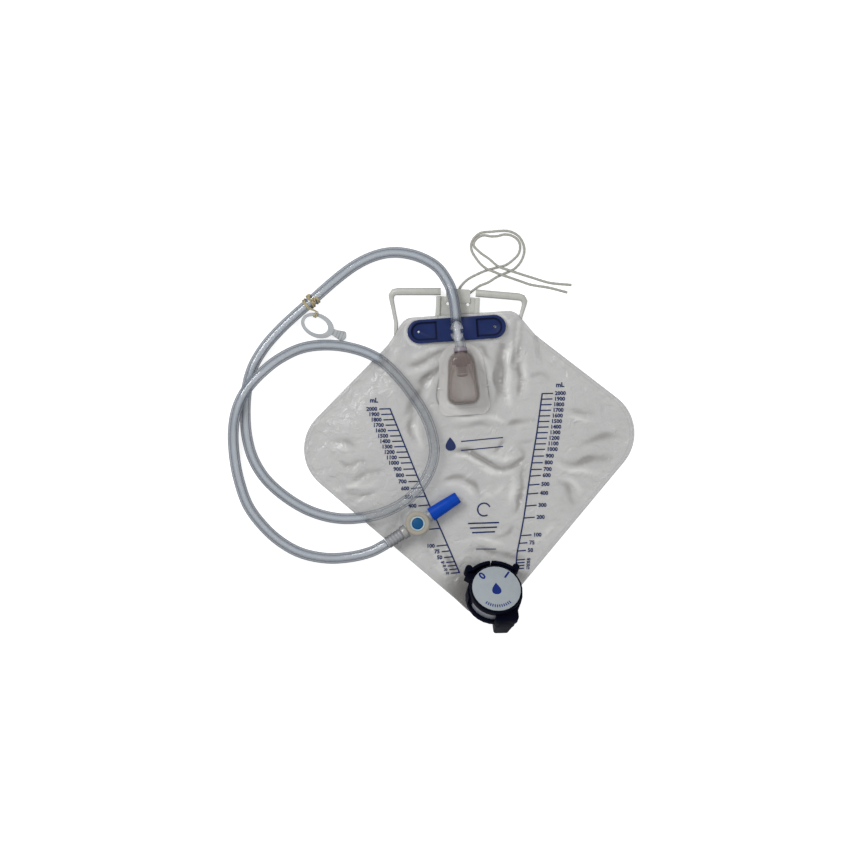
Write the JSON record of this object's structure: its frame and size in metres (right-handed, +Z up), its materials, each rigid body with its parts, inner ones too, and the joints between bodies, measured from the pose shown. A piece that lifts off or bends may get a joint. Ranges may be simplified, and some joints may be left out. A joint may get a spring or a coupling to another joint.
{
  "type": "urine drainage bag",
  "caption": "Flat kite-shaped urine drainage bag with hanger, drip chamber, coiled drain tube with sampling port and capped connector, sheet clip, tie string and rotary outlet valve.",
  "frame": {"origin": "on the underside of the back film, on the bag's axis", "axes": "+Y along the bag's axis towards the hanger, +X to the right as seen from the front, +Z up out of the front film"},
  "size_m": [0.4138, 0.4103, 0.0506],
  "materials": {
    "back_film": "soft whitish vinyl film",
    "clear_film": "clear vinyl film",
    "natural_plastic": "natural polypropylene",
    "navy_plastic": "navy moulding",
    "black_navy_plastic": "near-black navy moulding",
    "clear_plastic": "clear rigid plastic",
    "smoke_plastic": "dark smoked plastic",
    "clear_vinyl": "clear soft vinyl tube",
    "string": "twisted grey cord",
    "band_rubber": "tan rubber band",
    "clip_plastic": "light grey moulding",
    "grey_plastic": "grey moulding",
    "beige_plastic": "beige moulding",
    "septum_rubber": "blue septum rubber",
    "cap_plastic": "bright blue cap",
    "seal_rubber": "black seal",
    "face_plastic": "pale grey disc"
  },
  "bodies": {
    "bag": {"back_film": "back_film", "front_film": "clear_film", "anti_reflux_flap": "clear_film", "hanger": "natural_plastic", "hanger_bar": "navy_plastic", "chamber_flange": "clear_plastic", "chamber_housing": "clear_plastic", "inlet_fitting": "smoke_plastic", "drain_tube": "clear_vinyl", "tie_string_inner": "string", "tie_string_outer": "string", "rubber_band": "band_rubber", "sheet_clip": "clip_plastic", "tube_ferrule": "grey_plastic", "connector_barrel": "clear_plastic", "port_body": "clear_plastic", "port_ring": "beige_plastic", "port_septum": "septum_rubber", "catheter_connector": "grey_plastic", "outlet_neck": "clear_plastic", "valve_base": "black_navy_plastic", "valve_seal": "seal_rubber", "valve_pin": "grey_plastic"},
    "knob": {"valve_knob": "black_navy_plastic", "valve_face": "face_plastic", "valve_barrel": "grey_plastic"},
    "cap": {"protective_cap": "cap_plastic"}
  },
  "joints": [
    {"name": "valve_turn", "type": "hinge", "parent": "bag", "child": "knob", "pos_m": [0.0176, -0.1306, 0.0379], "axis": [0.185, 0.458, 0.8695], "range_deg": [0, 60]},
    {"name": "cap_pull", "type": "slide", "parent": "bag", "child": "cap", "axis": [0.8746, 0.4848, 0], "range_m": [0, 0.045]}
  ]
}
